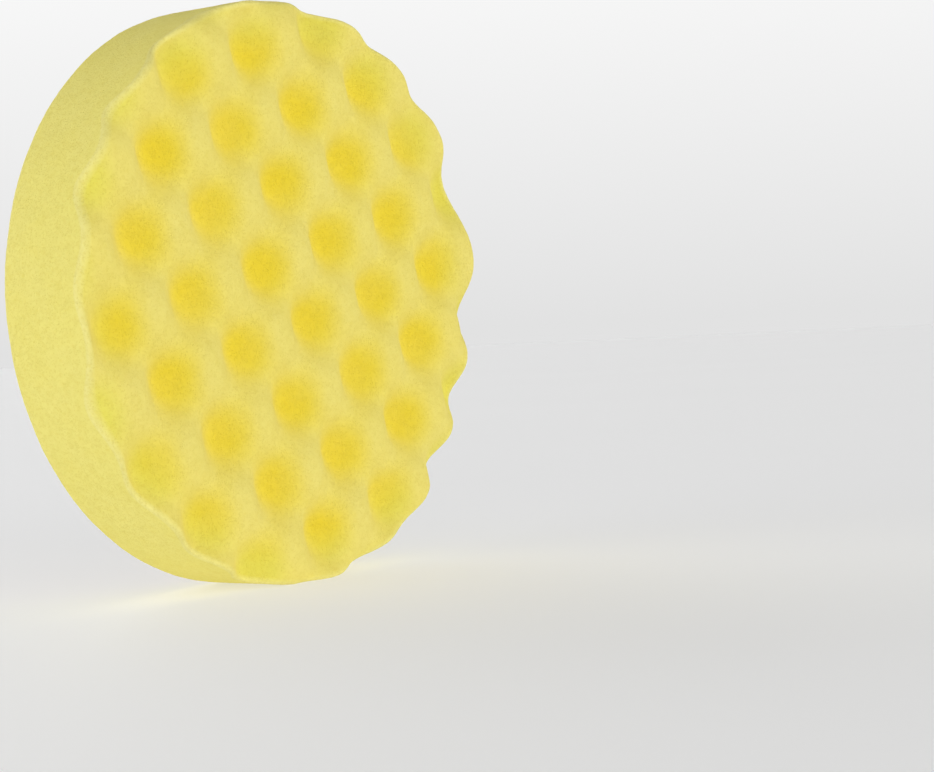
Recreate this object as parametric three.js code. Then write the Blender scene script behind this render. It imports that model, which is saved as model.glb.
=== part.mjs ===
// Waffle-faced foam polishing pad with a hook-and-loop backing.
//
// Frame: millimetres, +Z up. The pad stands on its rim, as a wheel does. Its spin axis is the Y
// axis: the flat loop face looks along +Y and lies in the plane y = 0, and the waffle face looks
// along -Y. The origin is the centre of the loop face.
import * as THREE from 'three';

// Pad outline
const PAD_DIAMETER = 150;
const FOAM_THICKNESS = 30; // glued face to the crests of the waffle
const BACK_EDGE_RADIUS = 3; // rounded corner on the loop side
const FRONT_EDGE_RADIUS = 1.5; // softened corner on the waffle side

// Waffle: dimples in rows, every second row shifted by half a pitch
const DIMPLE_DEPTH = 7.5; // crest to the bottom of a dimple
const DIMPLE_PITCH = 27; // between neighbours in one row
const ROW_PITCH = 18; // between one row and the next
const ROW_ANGLE = THREE.MathUtils.degToRad(14.5); // of the rows above the X axis
const DIMPLE_CENTRE = new THREE.Vector2(4.7, -7.4); // x and z of the dimple nearest to the middle
const DIMPLE_SHARPNESS = 1.45; // above 1 the crests are broader than the dimples

// Loop backing, from the foam outwards
const FILM_DIAMETER = 132;
const FILM_THICKNESS = 0.3;
const CLOTH_DIAMETER = 131;
const CLOTH_THICKNESS = 0.5;
const PILE_DIAMETER = 131;
const PILE_THICKNESS = 1.2;
const PILE_EDGE_RADIUS = 0.6;

// Facets
const SEGMENTS = 96; // round the axis, a multiple of 4, so that one facet lies at the bottom
const FACE_RINGS = 22; // across the waffle face
const CORNER_STEPS = 3; // in each rounded corner of the foam
const FLATS = 1 / Math.cos(Math.PI / SEGMENTS); // the polygon's flats touch the true circle
const STANDING_FACETS = 3; // pressed into one flat, 14.7 mm wide, where the soft rim stands

// Planes across the spin axis
const Y_PILE = 0;
const Y_CLOTH = Y_PILE - PILE_THICKNESS;
const Y_FILM = Y_CLOTH - CLOTH_THICKNESS;
const Y_FOAM = Y_FILM - FILM_THICKNESS;
const Y_CRESTS = Y_FOAM - FOAM_THICKNESS;
const Y_WALL_FRONT = Y_CRESTS + FRONT_EDGE_RADIUS;

// Height of the flat that the pad stands on
const Z_STANDING = (-PAD_DIAMETER / 2) * FLATS * Math.cos((STANDING_FACETS * Math.PI) / SEGMENTS);

/** How far the waffle face lies below its crests at x, z: 0 on a crest, DIMPLE_DEPTH in a dimple. */
function waffleDepth(x, z) {
  const along = (x - DIMPLE_CENTRE.x) * Math.cos(ROW_ANGLE) + (z - DIMPLE_CENTRE.y) * Math.sin(ROW_ANGLE);
  const across = (z - DIMPLE_CENTRE.y) * Math.cos(ROW_ANGLE) - (x - DIMPLE_CENTRE.x) * Math.sin(ROW_ANGLE);
  const wave = Math.cos((2 * Math.PI * along) / DIMPLE_PITCH) * Math.cos((Math.PI * across) / ROW_PITCH);
  return DIMPLE_DEPTH * ((1 + wave) / 2) ** DIMPLE_SHARPNESS;
}

/** Points of a quarter circle about (radius, y), from one angle to another, ends included. */
function corner(radius, y, r, from, to, steps) {
  const points = [];
  for (let i = 0; i <= steps; i += 1) {
    const angle = from + ((to - from) * i) / steps;
    points.push(new THREE.Vector2(radius + r * Math.cos(angle), y + r * Math.sin(angle)));
  }
  return points;
}

/** Turns a profile, from the axis at the front to the axis at the back, about the Y axis. */
function turned(profile) {
  const points = profile.map((p) => new THREE.Vector2(p.x * FLATS, p.y));
  return new THREE.LatheGeometry(points, SEGMENTS, Math.PI / SEGMENTS);
}

/** The foam's outline before the waffle is cut: flat face, soft corner, wall, round corner, back. */
function foamProfile() {
  const faceRadius = PAD_DIAMETER / 2 - FRONT_EDGE_RADIUS;
  const points = [];
  for (let ring = 0; ring < FACE_RINGS; ring += 1) {
    points.push(new THREE.Vector2((faceRadius * ring) / FACE_RINGS, Y_CRESTS));
  }
  points.push(...corner(faceRadius, Y_WALL_FRONT, FRONT_EDGE_RADIUS, -Math.PI / 2, 0, CORNER_STEPS));
  const backRadius = PAD_DIAMETER / 2 - BACK_EDGE_RADIUS;
  const backY = Y_FOAM - BACK_EDGE_RADIUS;
  points.push(...corner(backRadius, backY, BACK_EDGE_RADIUS, 0, Math.PI / 2, CORNER_STEPS));
  points.push(new THREE.Vector2(0, Y_FOAM));
  return points;
}

/** The foam disc: front face and front corner sunk to the waffle, rim pressed flat at the bottom. */
function foamBody() {
  const geometry = turned(foamProfile());
  const position = geometry.attributes.position;
  for (let i = 0; i < position.count; i += 1) {
    if (position.getY(i) <= Y_WALL_FRONT) {
      position.setY(i, position.getY(i) + waffleDepth(position.getX(i), position.getZ(i)));
    }
    position.setZ(i, Math.max(position.getZ(i), Z_STANDING));
  }
  return geometry;
}

/** A thin disc between two planes. */
function disc(diameter, yFront, yBack) {
  const r = diameter / 2;
  return turned([
    new THREE.Vector2(0, yFront),
    new THREE.Vector2(r, yFront),
    new THREE.Vector2(r, yBack),
    new THREE.Vector2(0, yBack),
  ]);
}

/** The layer of loops, flat outside, with its rim rounded over. */
function loopPile() {
  const r = PILE_DIAMETER / 2;
  return turned([
    new THREE.Vector2(0, Y_CLOTH),
    new THREE.Vector2(r, Y_CLOTH),
    ...corner(r - PILE_EDGE_RADIUS, Y_PILE - PILE_EDGE_RADIUS, PILE_EDGE_RADIUS, 0, Math.PI / 2, 2),
    new THREE.Vector2(0, Y_PILE),
  ]);
}

function piece(name, geometry, color, roughness) {
  const material = new THREE.MeshStandardMaterial({ color, roughness, metalness: 0 });
  const mesh = new THREE.Mesh(geometry, material);
  mesh.name = name;
  return mesh;
}

const pad = new THREE.Group();
pad.name = 'polishing_pad';
pad.add(piece('foam_body', foamBody(), 0xe9d95f, 0.9));
pad.add(piece('adhesive_film', disc(FILM_DIAMETER, Y_FOAM, Y_FILM), 0xdcae3c, 0.5));
pad.add(piece('loop_ground_cloth', disc(CLOTH_DIAMETER, Y_FILM, Y_CLOTH), 0xd9ceb8, 0.9));
pad.add(piece('loop_pile', loopPile(), 0xe4dac6, 0.95));

export default pad;
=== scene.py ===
"""Looks of the waffle-faced foam polishing pad, built round its CAD frame.

Metres, in the CAD frame: the pad stands on its rim, its spin axis is the Y axis, the loop face looks
along +Y in the plane y = 0, and the waffle face looks along -Y.
"""

import math

import bpy
import numpy as np
from mathutils import Matrix, Vector, noise

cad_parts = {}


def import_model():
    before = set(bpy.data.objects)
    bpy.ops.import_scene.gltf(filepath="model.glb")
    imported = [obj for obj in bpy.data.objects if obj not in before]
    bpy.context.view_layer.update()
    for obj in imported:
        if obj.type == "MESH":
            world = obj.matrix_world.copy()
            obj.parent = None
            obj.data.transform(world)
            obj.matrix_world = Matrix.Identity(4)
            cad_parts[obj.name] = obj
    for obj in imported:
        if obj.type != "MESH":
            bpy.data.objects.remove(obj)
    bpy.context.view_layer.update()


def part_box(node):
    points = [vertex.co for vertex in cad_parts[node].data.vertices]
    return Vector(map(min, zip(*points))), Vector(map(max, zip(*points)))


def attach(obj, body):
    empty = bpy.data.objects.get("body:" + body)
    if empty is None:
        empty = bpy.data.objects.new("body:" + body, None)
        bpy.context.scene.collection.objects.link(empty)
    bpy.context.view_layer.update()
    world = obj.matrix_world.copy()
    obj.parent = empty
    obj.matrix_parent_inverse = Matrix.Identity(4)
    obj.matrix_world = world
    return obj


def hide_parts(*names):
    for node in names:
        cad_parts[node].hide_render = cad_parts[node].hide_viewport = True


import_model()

MM = 0.001

# ---------------------------------------------------------------- sizes

FOAM_LOW, FOAM_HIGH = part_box("foam_body")
PAD_R = FOAM_HIGH.x
Y_CRESTS = FOAM_LOW.y
Y_FOAM_BACK = FOAM_HIGH.y
Z_STANDING = FOAM_LOW.z
FILM_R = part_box("adhesive_film")[1].x
Y_FILM_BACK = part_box("adhesive_film")[1].y
CLOTH_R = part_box("loop_ground_cloth")[1].x
Y_CLOTH_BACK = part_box("loop_ground_cloth")[1].y
PILE_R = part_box("loop_pile")[1].x
Y_LOOP_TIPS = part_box("loop_pile")[1].y

FRONT_EDGE_R = 1.5 * MM
BACK_EDGE_R = 3.0 * MM

DIMPLE_DEPTH = 7.5 * MM
DIMPLE_PITCH = 27 * MM
ROW_PITCH = 18 * MM
ROW_ANGLE = math.radians(14.5)
DIMPLE_CENTRE = (4.7 * MM, -7.4 * MM)
DIMPLE_SHARPNESS = 1.45


# ---------------------------------------------------------------- mesh tools

def disc_triangles(rings):
    """Triangles of an even disc: ring 0 is one point, and ring k has 6k points."""
    starts = [0] + [1 + 3 * k * (k - 1) for k in range(1, rings + 1)]
    found = []
    for k in range(1, rings + 1):
        inner, outer, per = starts[k - 1], starts[k], 6 * k
        fewer = max(1, 6 * (k - 1))
        for side in range(6):
            for j in range(k):
                a = outer + (side * k + j) % per
                b = outer + (side * k + j + 1) % per
                c = inner + (side * (k - 1) + j) % fewer
                found.append((a, b, c))
                if j < k - 1:
                    d = inner + (side * (k - 1) + j + 1) % fewer
                    found.append((c, b, d))
    return found


def disc_points(rings):
    """(ring share from 0 to 1, angle) of each point of an even disc."""
    share, angle = [0.0], [0.0]
    for k in range(1, rings + 1):
        steps = np.arange(6 * k)
        share.extend([k / rings] * (6 * k))
        angle.extend(steps / (6 * k) * 2 * math.pi)
    return np.array(share), np.array(angle)


def bridge(first, second, count):
    """Triangles between two closed rings of count points that start at those indices."""
    found = []
    for i in range(count):
        j = (i + 1) % count
        found.append((first + i, second + j, first + j))
        found.append((first + i, second + i, second + j))
    return found


def new_piece(name, points, triangles, material, smooth=True):
    mesh = bpy.data.meshes.new(name)
    mesh.from_pydata(np.asarray(points).tolist(), [], triangles)
    mesh.validate()
    mesh.polygons.foreach_set("use_smooth", np.full(len(mesh.polygons), smooth))
    mesh.materials.append(material)
    piece = bpy.data.objects.new(name, mesh)
    bpy.context.scene.collection.objects.link(piece)
    return piece


def grain(points, size, octaves=1, seed=0.0):
    """Smooth noise of about -1 to 1 at each point, with lumps of that size."""
    offset = Vector((seed, 3.1 * seed, 7.7 * seed))
    if octaves == 1:
        return np.array([noise.noise(Vector(p) / size + offset) for p in points])
    return np.array([
        noise.fractal(Vector(p) / size + offset, 0.8, 2.1, octaves) for p in points
    ])


def store(piece, name, values):
    """Keeps one number at each point, for the material to read."""
    made = piece.data.attributes.new(name, "FLOAT", "POINT")
    made.data.foreach_set("value", np.asarray(values, dtype=np.float32))


def normals(piece):
    found = np.empty(len(piece.data.vertices) * 3)
    piece.data.vertices.foreach_get("normal", found)
    return found.reshape(-1, 3)


def push(piece, heights):
    """Moves each point of a piece along its normal."""
    mesh = piece.data
    points = np.empty(len(mesh.vertices) * 3)
    mesh.vertices.foreach_get("co", points)
    points = points.reshape(-1, 3) + normals(piece) * np.asarray(heights)[:, None]
    mesh.vertices.foreach_set("co", points.ravel())
    mesh.update()


# ---------------------------------------------------------------- material tools

class Nodes:
    """A short way to write a node tree."""

    def __init__(self, name):
        self.material = bpy.data.materials.new(name)
        self.material.use_nodes = True
        self.tree = self.material.node_tree
        self.shader = self.tree.nodes["Principled BSDF"]
        self.place = self.add("ShaderNodeTexCoord").outputs["Object"]

    def add(self, kind, **settings):
        node = self.tree.nodes.new(kind)
        for key, value in settings.items():
            setattr(node, key, value)
        return node

    def link(self, source, target):
        self.tree.links.new(source, target)

    def noise(self, size, detail=2.0, roughness=0.5):
        """Noise with lumps of that size in metres, about 0.5 on average."""
        node = self.add("ShaderNodeTexNoise")
        node.inputs["Scale"].default_value = 1 / size
        node.inputs["Detail"].default_value = detail
        node.inputs["Roughness"].default_value = roughness
        self.link(self.place, node.inputs["Vector"])
        return node.outputs["Fac"]

    def walls(self, size):
        """Distance to the nearest wall between cells of that size, as a share of the size."""
        node = self.add("ShaderNodeTexVoronoi", feature="DISTANCE_TO_EDGE")
        node.inputs["Scale"].default_value = 1 / size
        self.link(self.place, node.inputs["Vector"])
        return node.outputs["Distance"]

    def math(self, operation, *values):
        node = self.add("ShaderNodeMath", operation=operation)
        for socket, value in zip(node.inputs, values):
            if isinstance(value, (int, float)):
                socket.default_value = value
            else:
                self.link(value, socket)
        return node.outputs[0]

    def ramp(self, value, low, high):
        """Maps value from low..high to 0..1, smoothly and clamped."""
        node = self.add("ShaderNodeMapRange", interpolation_type="SMOOTHSTEP")
        node.inputs["From Min"].default_value = low
        node.inputs["From Max"].default_value = high
        self.link(value, node.inputs["Value"])
        return node.outputs["Result"]

    def mix(self, share, first, second):
        """Mixes two colours. A colour is three numbers or a socket."""
        node = self.add("ShaderNodeMix", data_type="RGBA")
        if isinstance(share, (int, float)):
            node.inputs["Factor"].default_value = share
        else:
            self.link(share, node.inputs["Factor"])
        for name, value in (("A", first), ("B", second)):
            socket = next(s for s in node.inputs if s.name == name and s.type == "RGBA")
            if isinstance(value, tuple):
                socket.default_value = (*value, 1)
            else:
                self.link(value, socket)
        return next(s for s in node.outputs if s.type == "RGBA")

    def attribute(self, name):
        return self.add("ShaderNodeAttribute", attribute_name=name).outputs["Fac"]

    def colour(self, socket):
        self.link(socket, self.shader.inputs["Base Color"])

    def roughness(self, socket):
        self.link(socket, self.shader.inputs["Roughness"])

    def bump(self, height, distance, strength=1.0):
        node = self.add("ShaderNodeBump")
        node.inputs["Distance"].default_value = distance
        node.inputs["Strength"].default_value = strength
        self.link(height, node.inputs["Height"])
        self.link(node.outputs["Normal"], self.shader.inputs["Normal"])

    def set(self, **values):
        """Sets sockets of the shader. An underscore stands for a space in the socket's name."""
        for key, value in values.items():
            self.shader.inputs[key.replace("_", " ")].default_value = value


# ---------------------------------------------------------------- materials

WALL_COLOUR = (0.93, 0.835, 0.225)
CREST_COLOUR = (0.93, 0.80, 0.195)
# painted shade: the deeper yellow down in the dimples stands in for shade and bounced light there
DIMPLE_SHADE_COLOUR = (0.935, 0.755, 0.055)
# painted shade: a greener tint for the dimples cut by the rim
RIM_DIMPLE_SHADE_COLOUR = (0.87, 0.785, 0.12)
# painted shade: deeper yellow on the flat back ring beside the loop backing
BACK_RING_SHADE_COLOUR = (0.91, 0.78, 0.145)
# painted highlight: the pale line along the front and back corners
EDGE_HIGHLIGHT_COLOUR = (0.96, 0.89, 0.40)
STRUT_COLOUR = (0.94, 0.87, 0.36)
# random mottle, and painted shade in the pore hollows
MOTTLE_AND_PORE_SHADE_COLOUR = (0.74, 0.59, 0.055)
SMALL_PORE = 0.6 * MM
LARGE_PORE = 1.3 * MM
PORE_WALL = (0.05, 0.28)  # where a pore's hollow starts and is full, from its wall
DIMPLE_SHADE_RANGE = (0.12, 0.98)  # shares of the dimple's depth where the deeper yellow of the painted dimple shade starts and is full
EDGE_HIGHLIGHT_SHARE = 0.36  # how much of each colour is mixed in
CLOUD_SHARE = 0.10
MOTTLE_SHARE = 0.16
PORE_SHADE_SHARE = 0.22
CLOUD_SIZE = 13 * MM
MOTTLE_SIZE = 1.9 * MM
FOAM_GRAIN = 0.9 * MM
FOAM_BUMP = 0.16 * MM


def pores(n, size, share):
    """1 down in the open pores of that size, which are that share of all the cells."""
    hollow = n.ramp(n.walls(size), *PORE_WALL)
    middle = 0.5 + 0.35 * (0.5 - share)
    chosen = n.ramp(n.noise(size, 1), middle - 0.08, middle + 0.08)
    return n.math("MULTIPLY", hollow, chosen)


def foam_material():
    """Open-cell foam: pale struts round small pores. Its colour holds painted shade, deeper yellow down
    in the waffle, greener in the dimples cut by the rim, on the back ring and in the pores, and a painted
    highlight along the corners.
    """
    n = Nodes("foam")
    # painted shade: deeper yellow in the dimples, moved towards their shaded side
    dimple_shade = n.ramp(n.attribute("dimple_shade"), *DIMPLE_SHADE_RANGE)
    # painted shade: greener in the dimples cut by the rim
    hollow = n.mix(n.attribute("inward"), RIM_DIMPLE_SHADE_COLOUR, DIMPLE_SHADE_COLOUR)
    # painted shade: the back ring turns deeper yellow towards the loop backing
    wall = n.mix(n.attribute("back"), WALL_COLOUR, BACK_RING_SHADE_COLOUR)
    colour = n.mix(n.attribute("face"), wall, n.mix(dimple_shade, CREST_COLOUR, hollow))
    # painted highlight: a pale line along the corners
    colour = n.mix(n.math("MULTIPLY", n.attribute("edge_highlight"), EDGE_HIGHLIGHT_SHARE), colour, EDGE_HIGHLIGHT_COLOUR)
    cloudy = n.ramp(n.noise(CLOUD_SIZE, 3), 0.35, 0.7)
    colour = n.mix(n.math("MULTIPLY", cloudy, CLOUD_SHARE), colour, STRUT_COLOUR)
    mottled = n.ramp(n.noise(MOTTLE_SIZE, 3, 0.65), 0.40, 0.75)
    colour = n.mix(n.math("MULTIPLY", mottled, MOTTLE_SHARE), colour, MOTTLE_AND_PORE_SHADE_COLOUR)
    small = pores(n, SMALL_PORE, 0.5)
    large = pores(n, LARGE_PORE, 0.25)
    pit = n.math("MAXIMUM", small, n.math("MULTIPLY", large, 0.8))
    # painted shade: the pore hollows are darkened
    colour = n.mix(n.math("MULTIPLY", pit, PORE_SHADE_SHARE), colour, MOTTLE_AND_PORE_SHADE_COLOUR)
    n.colour(colour)
    n.bump(n.math("SUBTRACT", n.noise(FOAM_GRAIN, 3, 0.6), pit), FOAM_BUMP, 0.6)
    n.roughness(n.math("MULTIPLY_ADD", pit, 0.12, 0.86))
    n.set(Specular_IOR_Level=0.15)
    return n.material


FILM_COLOURS = (0.62, 0.40, 0.06), (0.80, 0.58, 0.13)
CLOTH_COLOURS = (0.66, 0.60, 0.49), (0.80, 0.75, 0.65)
YARN_COLOURS = (0.74, 0.675, 0.56), (0.88, 0.83, 0.73)
YARN_PALE = (0.95, 0.90, 0.80)
INK_COLOURS = (0.52, 0.012, 0.018), (0.70, 0.03, 0.03)


def film_material():
    """Glossy glue, darker and lighter where it is thick and thin."""
    n = Nodes("hot_melt_film")
    n.colour(n.mix(n.noise(3 * MM, 3), *FILM_COLOURS))
    n.bump(n.noise(1.2 * MM, 3), 0.1 * MM, 0.6)
    n.set(Roughness=0.42)
    return n.material


def cloth_material():
    """Dull off-white knit."""
    n = Nodes("ground_cloth")
    n.colour(n.mix(n.noise(0.8 * MM, 3), *CLOTH_COLOURS))
    n.bump(n.noise(0.3 * MM, 2), 0.1 * MM, 0.8)
    n.set(Roughness=0.9)
    return n.material


BAR_LENGTH = 15 * MM
BAR_WIDTH = 3 * MM
BAR_GAP = 2 * MM
MARK_PITCH = 48 * MM
MARK_ROW = 25 * MM
MARK_ANGLE = math.radians(12)
MARK_SHIFT = 0.43  # of the pitch, from each row to the next
INK_SPREAD = 1.6 * MM
INK_EDGE = 0.2 * MM


def red_bars(n):
    """1 on the printed marks: pairs of short bars in staggered rows, ragged where the ink sat on yarn."""
    split = n.add("ShaderNodeSeparateXYZ")
    n.link(n.place, split.inputs[0])
    x, z = split.outputs["X"], split.outputs["Z"]
    cos, sin = math.cos(MARK_ANGLE), math.sin(MARK_ANGLE)
    u = n.math("ADD", n.math("MULTIPLY", x, cos), n.math("MULTIPLY", z, sin))
    v = n.math("SUBTRACT", n.math("MULTIPLY", z, cos), n.math("MULTIPLY", x, sin))
    row = n.math("FLOOR", n.math("DIVIDE", v, MARK_ROW))
    u = n.math("ADD", u, n.math("MULTIPLY", row, MARK_SHIFT * MARK_PITCH))
    u = n.math("ABSOLUTE", n.math("SUBTRACT", n.math("FLOORED_MODULO", u, MARK_PITCH), MARK_PITCH / 2))
    v = n.math("SUBTRACT", n.math("FLOORED_MODULO", v, MARK_ROW), MARK_ROW / 2)
    v = n.math("ABSOLUTE", n.math("SUBTRACT", n.math("ABSOLUTE", v), (BAR_WIDTH + BAR_GAP) / 2))
    wobble = n.math("MULTIPLY", n.math("SUBTRACT", n.noise(0.9 * MM, 2, 0.7), 0.5), INK_SPREAD)
    half_u, half_v = BAR_LENGTH / 2, BAR_WIDTH / 2
    inside_u = n.ramp(n.math("ADD", u, wobble), half_u + INK_EDGE, half_u - INK_EDGE)
    inside_v = n.ramp(n.math("ADD", v, wobble), half_v + INK_EDGE, half_v - INK_EDGE)
    return n.math("MULTIPLY", inside_u, inside_v)


def pile_material():
    """Off-white nylon yarn with a printed pattern of red bars."""
    n = Nodes("loop_pile")
    yarn = n.mix(n.noise(0.9 * MM, 4, 0.6), *YARN_COLOURS)
    yarn = n.mix(n.ramp(n.noise(14 * MM, 2), 0.35, 0.7), yarn, n.mix(0.12, yarn, YARN_PALE))
    ink = n.mix(n.noise(0.7 * MM, 3), *INK_COLOURS)
    bare = n.ramp(n.noise(0.45 * MM, 2, 0.7), 0.66, 0.74)
    cover = n.math("MULTIPLY", red_bars(n), n.math("SUBTRACT", 1.0, bare))
    n.colour(n.mix(cover, yarn, ink))
    n.bump(n.noise(0.3 * MM, 3, 0.7), 0.06 * MM, 0.5)
    n.roughness(n.math("MULTIPLY_ADD", n.noise(0.5 * MM), 0.2, 0.75))
    n.set(Sheen_Weight=0.12, Sheen_Roughness=0.5)
    return n.material


FLOOR_GLOW = 0.45
FLOOR_COLOURS = (0.47, 0.47, 0.47), (0.49, 0.49, 0.49)


def floor_material():
    """A plain pale floor. Most of its brightness is its own glow, as on a light table."""
    n = Nodes("floor")
    n.colour(n.mix(n.noise(0.4, 2), *FLOOR_COLOURS))
    n.set(Roughness=0.8, Emission_Color=(1, 1, 1, 1), Emission_Strength=FLOOR_GLOW)
    return n.material


# ---------------------------------------------------------------- foam body

FACE_STEP = 0.62 * MM
FACE_RINGS = round((PAD_R - FRONT_EDGE_R + FRONT_EDGE_R * math.pi / 2) / FACE_STEP)
RIM_POINTS = 6 * FACE_RINGS
WALL_ROWS = 40
CORNER_ROWS = 7
BACK_RING_ROWS = 11
BACK_RING_R = 64.5 * MM

EDGE_FADE = 1.6 * MM  # width of the pale line on a corner, a painted highlight
RIM_SHADE = 9 * MM  # the dimples cut by the rim are greener than the others: a greener painted shade
DIMPLE_SHADE_SHIFT = 3.5 * MM  # from a dimple's deepest point to its deepest yellow: the painted shade is moved this far towards +X, onto each dimple's shaded side
BACK_SHADE_FADE = 6 * MM  # width over which the back ring takes its deeper yellow, painted shade beside the loop backing

WARP = 0.7 * MM  # how far the pattern wanders from an even one
WARP_SIZE = 38 * MM
DEPTH_SPREAD = 0.06  # of the dimple's depth
DEPTH_SPREAD_SIZE = 30 * MM
SWELL, SWELL_SIZE = 0.10 * MM, 9 * MM  # the slow and the fine unevenness of the cut surface
ROUGH, ROUGH_SIZE = 0.05 * MM, 1.3 * MM


def waffle_depth(x, z):
    """How far the waffle face lies below its crests."""
    warp = np.stack([x, np.zeros_like(x), z], axis=1)
    x = x + WARP * grain(warp, WARP_SIZE, seed=2.0)
    z = z + WARP * grain(warp, WARP_SIZE, seed=5.0)
    dx, dz = x - DIMPLE_CENTRE[0], z - DIMPLE_CENTRE[1]
    along = dx * math.cos(ROW_ANGLE) + dz * math.sin(ROW_ANGLE)
    across = dz * math.cos(ROW_ANGLE) - dx * math.sin(ROW_ANGLE)
    wave = np.cos(2 * math.pi * along / DIMPLE_PITCH) * np.cos(math.pi * across / ROW_PITCH)
    depth = DIMPLE_DEPTH * np.clip((1 + wave) / 2, 0, 1) ** DIMPLE_SHARPNESS
    return depth * (1 + DEPTH_SPREAD * grain(warp, DEPTH_SPREAD_SIZE, seed=9.0))


def ring_points(radius, y, angle):
    return np.stack([radius * np.cos(angle), y + 0 * angle, radius * np.sin(angle)], axis=1)


def foam_points():
    """The foam's points: face and front corner, wall, back corner, flat back ring, back centre."""
    share, angle = disc_points(FACE_RINGS)
    flat = PAD_R - FRONT_EDGE_R
    path = share * (flat + FRONT_EDGE_R * math.pi / 2)
    turn = np.clip((path - flat) / FRONT_EDGE_R, 0, math.pi / 2)
    radius = np.where(path < flat, path, flat + FRONT_EDGE_R * np.sin(turn))
    y = Y_CRESTS + FRONT_EDGE_R * (1 - np.cos(turn))
    x, z = radius * np.cos(angle), radius * np.sin(angle)
    y = y + waffle_depth(x, z)
    face = np.stack([x, y, z], axis=1)
    rim_angle, rim_y = angle[-RIM_POINTS:], y[-RIM_POINTS:]
    rows = [face]
    wall_back = Y_FOAM_BACK - BACK_EDGE_R
    for row in range(1, WALL_ROWS + 1):
        t = row / WALL_ROWS
        rows.append(ring_points(PAD_R, rim_y + (wall_back - rim_y) * t, rim_angle))
    for row in range(1, CORNER_ROWS + 1):
        turn = row / CORNER_ROWS * math.pi / 2
        radius = PAD_R - BACK_EDGE_R * (1 - math.cos(turn))
        rows.append(ring_points(radius, wall_back + BACK_EDGE_R * math.sin(turn), rim_angle))
    for row in range(1, BACK_RING_ROWS + 1):
        t = row / BACK_RING_ROWS
        radius = (PAD_R - BACK_EDGE_R) * (1 - t) + BACK_RING_R * t
        rows.append(ring_points(radius, Y_FOAM_BACK, rim_angle))
    rows.append(np.array([[0.0, Y_FOAM_BACK, 0.0]]))
    return np.concatenate(rows)


def foam_triangles(count):
    triangles = disc_triangles(FACE_RINGS)
    first = 1 + 3 * FACE_RINGS * (FACE_RINGS + 1) - RIM_POINTS
    rings = WALL_ROWS + CORNER_ROWS + BACK_RING_ROWS
    for ring in range(rings):
        triangles += bridge(first + ring * RIM_POINTS, first + (ring + 1) * RIM_POINTS, RIM_POINTS)
    last = first + rings * RIM_POINTS
    for i in range(RIM_POINTS):
        triangles.append((last + i, count - 1, last + (i + 1) % RIM_POINTS))
    return triangles


def store_foam_shades(piece, points):
    """Stores where on the body each point lies, as shares from 0 to 1 that the material reads; several
    are masks for painted shade and a painted highlight.
    """
    x, y, z = points.T
    from_rim = PAD_R - np.hypot(x, z)
    on_face = np.arange(len(points)) <= 3 * FACE_RINGS * (FACE_RINGS + 1)
    store(piece, "face", np.where(on_face, np.clip(from_rim / EDGE_FADE, 0, 1), 0))
    # mask of the painted dimple shade, shifted towards +X onto each dimple's shaded side
    store(piece, "dimple_shade", np.where(on_face, waffle_depth(x - DIMPLE_SHADE_SHIFT, z) / DIMPLE_DEPTH, 0))
    # where the greener painted shade of the rim-cut dimples gives way to the other dimples' shade
    store(piece, "inward", np.clip(from_rim / RIM_SHADE - 0.5, 0, 1))
    # mask of the painted shade on the back ring, full towards the loop backing
    on_back = np.clip((from_rim - BACK_EDGE_R / 2) / BACK_SHADE_FADE, 0, 1)
    store(piece, "back", np.where(on_face, 0, on_back))
    # mask of the painted highlight, a pale line along the front and back corners
    from_front = np.where(on_face, from_rim, y - Y_CRESTS - waffle_depth(x, z))
    from_back = np.hypot(from_rim, Y_FOAM_BACK - y) - BACK_EDGE_R / 3
    near = np.minimum(np.abs(from_front), np.abs(from_back))
    store(piece, "edge_highlight", np.clip(1 - near / EDGE_FADE, 0, 1))


def foam_body():
    """Bare cut foam: the waffle, a slightly uneven surface, and flats where it is glued and stands."""
    points = foam_points()
    piece = new_piece("foam_body_soft", points, foam_triangles(len(points)), foam_material())
    store_foam_shades(piece, points)
    glued = (points[:, 1] > Y_FOAM_BACK - 0.1 * MM) & (np.hypot(points[:, 0], points[:, 2]) < FILM_R)
    height = SWELL * grain(points, SWELL_SIZE, 2, seed=1.0)
    height += ROUGH * grain(points, ROUGH_SIZE, 2, seed=4.0)
    push(piece, np.where(glued, 0, height))
    for v in piece.data.vertices:
        v.co.z = max(v.co.z, Z_STANDING)
        if v.co.y > Y_FOAM_BACK - 0.3 * MM and math.hypot(v.co.x, v.co.z) < FILM_R + MM:
            v.co.y = min(v.co.y, Y_FOAM_BACK)
    return piece


# ---------------------------------------------------------------- loop backing

FILM_RIM_POINTS = 720
FILM_BEAD = 0.5 * MM
FILM_MIDDLE_R = 20 * MM
FILM_EVEN_R = 50 * MM  # inside this radius the film is a true round disc
BEAD_SPREAD = 0.25 * MM


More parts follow.
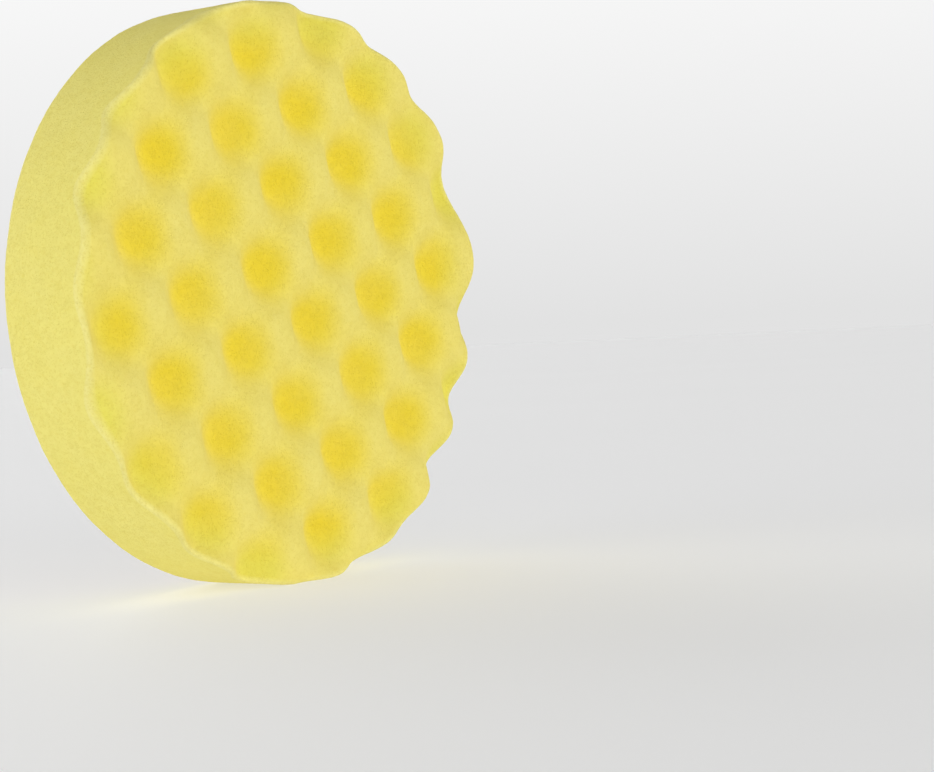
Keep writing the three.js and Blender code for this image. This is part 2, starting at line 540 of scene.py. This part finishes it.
def film():
    """The hot-melt film, with a bead squeezed out all round the cloth."""
    angle = np.arange(FILM_RIM_POINTS) / FILM_RIM_POINTS * 2 * math.pi
    circle = ring_points(FILM_R, 0, angle)
    spread = BEAD_SPREAD * grain(circle, 7 * MM, 3, seed=21.0)
    thick = Y_FILM_BACK - Y_FOAM_BACK
    rows = []
    for radius, y in (
        (FILM_MIDDLE_R, Y_FOAM_BACK),
        (FILM_EVEN_R, Y_FOAM_BACK),
        (FILM_R - FILM_BEAD, Y_FOAM_BACK),
        (FILM_R, Y_FOAM_BACK),
        (FILM_R + 0.1 * MM, Y_FOAM_BACK + 0.4 * thick),
        (FILM_R, Y_FOAM_BACK + 0.9 * thick),
        (FILM_R - FILM_BEAD, Y_FILM_BACK),
        (FILM_EVEN_R, Y_FILM_BACK),
        (FILM_MIDDLE_R, Y_FILM_BACK),
    ):
        share = np.clip((radius - FILM_EVEN_R) / (FILM_R - FILM_EVEN_R), 0, 1)
        rows.append(ring_points(radius + spread * share, y, angle))
    points = np.concatenate(rows + [np.array([[0, Y_FOAM_BACK, 0], [0, Y_FILM_BACK, 0]])])
    triangles = []
    for ring in range(len(rows) - 1):
        triangles += bridge(ring * FILM_RIM_POINTS, (ring + 1) * FILM_RIM_POINTS, FILM_RIM_POINTS)
    last = (len(rows) - 1) * FILM_RIM_POINTS
    for i in range(FILM_RIM_POINTS):
        j = (i + 1) % FILM_RIM_POINTS
        triangles.append((i, j, len(points) - 2))
        triangles.append((last + j, last + i, len(points) - 1))
    return new_piece("adhesive_film_bead", points, triangles, film_material())


def closed_disc(name, radius, step, front, back, material):
    """A thin disc whose two faces are given as heights y at the points of an even disc."""
    rings = round(radius / step)
    share, angle = disc_points(rings)
    flat = ring_points(share * radius, 0, angle)
    sides = []
    for height in (front, back):
        side = flat.copy()
        side[:, 1] = height(flat)
        sides.append(side)
    count, rim = len(flat), 6 * rings
    triangles = disc_triangles(rings)
    triangles += [(c + count, b + count, a + count) for a, b, c in disc_triangles(rings)]
    triangles += bridge(count - rim, 2 * count - rim, rim)
    return new_piece(name, np.concatenate(sides), triangles, material)


WALE = 0.9 * MM
KNIT_RELIEF = 0.08 * MM
CLOTH_STEP = 0.8 * MM


def ground_cloth():
    """The knitted ground cloth, with its wales showing as ribs on the loop side."""
    def ribs(p):
        return Y_CLOTH_BACK - KNIT_RELIEF * (0.5 + 0.5 * np.cos(2 * math.pi * p[:, 0] / WALE))

    def glued(p):
        return np.full(len(p), Y_FILM_BACK)

    return closed_disc("loop_ground_cloth_knit", CLOTH_R, CLOTH_STEP, glued, ribs, cloth_material())


MAT_STEP = 0.55 * MM
Y_MAT = Y_LOOP_TIPS - 0.55 * MM
MAT_EDGE_R = 0.6 * MM
MAT_EDGE_DROP = 0.35 * MM
TANGLE, TANGLE_SIZE = 0.16 * MM, 0.9 * MM
MAT_SWELL, MAT_SWELL_SIZE = 0.10 * MM, 5 * MM


def pile_mat():
    """The tangle of yarn at the foot of the loops."""
    def tangle(p):
        heap = TANGLE * grain(p, TANGLE_SIZE, 2, seed=31.0)
        heap = heap + MAT_SWELL * grain(p, MAT_SWELL_SIZE, 2, seed=33.0)
        inset = np.clip((MAT_EDGE_R - (PILE_R - np.hypot(p[:, 0], p[:, 2]))) / MAT_EDGE_R, 0, 1)
        return Y_MAT + heap - MAT_EDGE_DROP * inset ** 2

    def foot(p):
        return np.full(len(p), Y_CLOTH_BACK)

    return closed_disc("loop_pile_mat", PILE_R, MAT_STEP, foot, tangle, pile_material())


LOOP_COUNT = 5500
LOOP_STEPS = 5
YARN_R = 0.075 * MM
YARN_SIDES = 3
LOOP_HEADING = math.radians(12)
HEADING_SPREAD = 0.7  # radians
LOOP_WIDTHS = 0.8, 1.9  # millimetres
LOOP_HEIGHTS = 0.35, 0.58  # millimetres
LEAN_SPREAD = 0.45  # millimetres
LOOP_INSET = 0.6 * MM
LOOP_FOOT = 0.12 * MM  # how far the loops start below the mat's surface


def pile_loops():
    """Loops of yarn standing out of the mat: most run roughly one way, and each leans to a side."""
    random = np.random.default_rng(7)
    radius = (PILE_R - LOOP_INSET) * np.sqrt(random.random(LOOP_COUNT))
    angle = random.random(LOOP_COUNT) * 2 * math.pi
    middle = ring_points(radius, Y_MAT - LOOP_FOOT, angle)
    heading = LOOP_HEADING + random.normal(0, HEADING_SPREAD, LOOP_COUNT)
    width = random.uniform(*LOOP_WIDTHS, LOOP_COUNT) * MM
    height = random.uniform(*LOOP_HEIGHTS, LOOP_COUNT) * MM
    lean = random.normal(0, LEAN_SPREAD, LOOP_COUNT) * MM
    along = np.stack([np.cos(heading), 0 * heading, np.sin(heading)], axis=1)
    aside = np.stack([-np.sin(heading), 0 * heading, np.cos(heading)], axis=1)
    path = []
    for step in range(LOOP_STEPS + 1):
        t = step / LOOP_STEPS
        arch = math.sin(math.pi * t)
        place = middle + along * (width * (t - 0.5))[:, None] + aside * (lean * arch)[:, None]
        place[:, 1] += height * arch ** 0.7
        path.append(place)
    points = []
    for step in range(LOOP_STEPS + 1):
        way = path[min(step + 1, LOOP_STEPS)] - path[max(step - 1, 0)]
        way /= np.linalg.norm(way, axis=1)[:, None]
        up = np.cross(aside, way)
        up /= np.linalg.norm(up, axis=1)[:, None]
        side = np.cross(way, up)
        for corner in range(YARN_SIDES):
            turn = 2 * math.pi * corner / YARN_SIDES
            points.append(path[step] + YARN_R * (math.cos(turn) * up + math.sin(turn) * side))
    points = np.array(points).transpose(1, 0, 2).reshape(-1, 3)
    per_loop = YARN_SIDES * (LOOP_STEPS + 1)
    triangles = []
    for loop in range(LOOP_COUNT):
        for step in range(LOOP_STEPS):
            a = loop * per_loop + YARN_SIDES * step
            b = a + YARN_SIDES
            for corner in range(YARN_SIDES):
                after = (corner + 1) % YARN_SIDES
                triangles.append((a + corner, a + after, b + after))
                triangles.append((a + corner, b + after, b + corner))
    return new_piece("loop_pile_loops", points, triangles, pile_material(), smooth=False)


foam = foam_body()
film_piece = film()
cloth = ground_cloth()
mat = pile_mat()
loops = pile_loops()

for piece, node, slot in (
    (foam, "foam_body", "foam"),
    (film_piece, "adhesive_film", "adhesive"),
    (cloth, "loop_ground_cloth", "loop_cloth"),
    (mat, "loop_pile", "loop_pile"),
    (loops, "loop_pile", "loop_pile"),
):
    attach(piece, "root")
    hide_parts(node)


# ---------------------------------------------------------------- studio

CAMERA_PLACE = Vector((-425.1, -407.0, -11.4)) * MM
CAMERA_HEADING = math.radians(-52.69)
CAMERA_PITCH = math.radians(-1.5)
CAMERA_ROLL = math.radians(-2.89)
CAMERA_LENS = 84.8

TENT = ((0.0, 0.76), (0.20, 0.98), (0.42, 0.12), (1.0, 0.08))  # (height of the direction, light)

FLOOR_HALF = 6.0

LAMP_SPREAD = 50  # degrees across
LAMPS = (  # name, azimuth and elevation in degrees, strength
    ("side_light", -105, 10, 1.05),
    ("front_left_light", -20, 8, 0.70),
    ("front_right_light", 42, 8, 0.75),
    ("high_light", -35, 40, 0.42),
    ("back_light", 165, 15, 1.25),
)


def floor():
    mesh = bpy.data.meshes.new("floor")
    half = FLOOR_HALF
    corners = [(-half, -half), (half, -half), (half, half), (-half, half)]
    mesh.from_pydata([(x, y, Z_STANDING) for x, y in corners], [], [(0, 1, 2, 3)])
    mesh.materials.append(floor_material())
    piece = bpy.data.objects.new("floor", mesh)
    bpy.context.scene.collection.objects.link(piece)


def soft_light(name, azimuth, elevation, strength):
    """A wide soft light far off. Azimuth 0 is in front of the waffle face, 90 towards +X."""
    light = bpy.data.lights.new(name, "SUN")
    light.energy = strength
    light.angle = math.radians(LAMP_SPREAD)
    lamp = bpy.data.objects.new(name, light)
    azimuth, elevation = math.radians(azimuth), math.radians(elevation)
    towards = Vector((
        math.sin(azimuth) * math.cos(elevation),
        -math.cos(azimuth) * math.cos(elevation),
        math.sin(elevation),
    ))
    lamp.rotation_euler = towards.to_track_quat("Z", "Y").to_euler()
    bpy.context.scene.collection.objects.link(lamp)


def camera():
    data = bpy.data.cameras.new("camera")
    data.sensor_width = 36
    data.lens = CAMERA_LENS
    data.clip_start = 0.01
    obj = bpy.data.objects.new("camera", data)
    turn = Matrix.Rotation(CAMERA_HEADING, 4, "Z")
    tilt = Matrix.Rotation(math.pi / 2 + CAMERA_PITCH, 4, "X")
    roll = Matrix.Rotation(CAMERA_ROLL, 4, "Z")
    obj.matrix_world = Matrix.Translation(CAMERA_PLACE) @ turn @ tilt @ roll
    bpy.context.scene.collection.objects.link(obj)
    bpy.context.scene.camera = obj


def world():
    """A white tent: as pale as the floor at the horizon, brightest just above it, dark overhead."""
    made = bpy.data.worlds.new("tent")
    made.use_nodes = True
    nodes, links = made.node_tree.nodes, made.node_tree.links
    place = nodes.new("ShaderNodeTexCoord")
    split = nodes.new("ShaderNodeSeparateXYZ")
    ramp = nodes.new("ShaderNodeValToRGB")
    stops = ramp.color_ramp.elements
    for position, light in TENT[2:]:
        stops.new(position)
    for stop, (position, light) in zip(stops, TENT):
        stop.position = position
        stop.color = (light, light, light, 1)
    links.new(place.outputs["Generated"], split.inputs["Vector"])
    links.new(split.outputs["Z"], ramp.inputs["Fac"])
    links.new(ramp.outputs["Color"], nodes["Background"].inputs["Color"])
    bpy.context.scene.world = made


floor()
camera()
world()
for name, azimuth, elevation, strength in LAMPS:
    soft_light(name, azimuth, elevation, strength)
bpy.context.scene.view_settings.view_transform = "Standard"
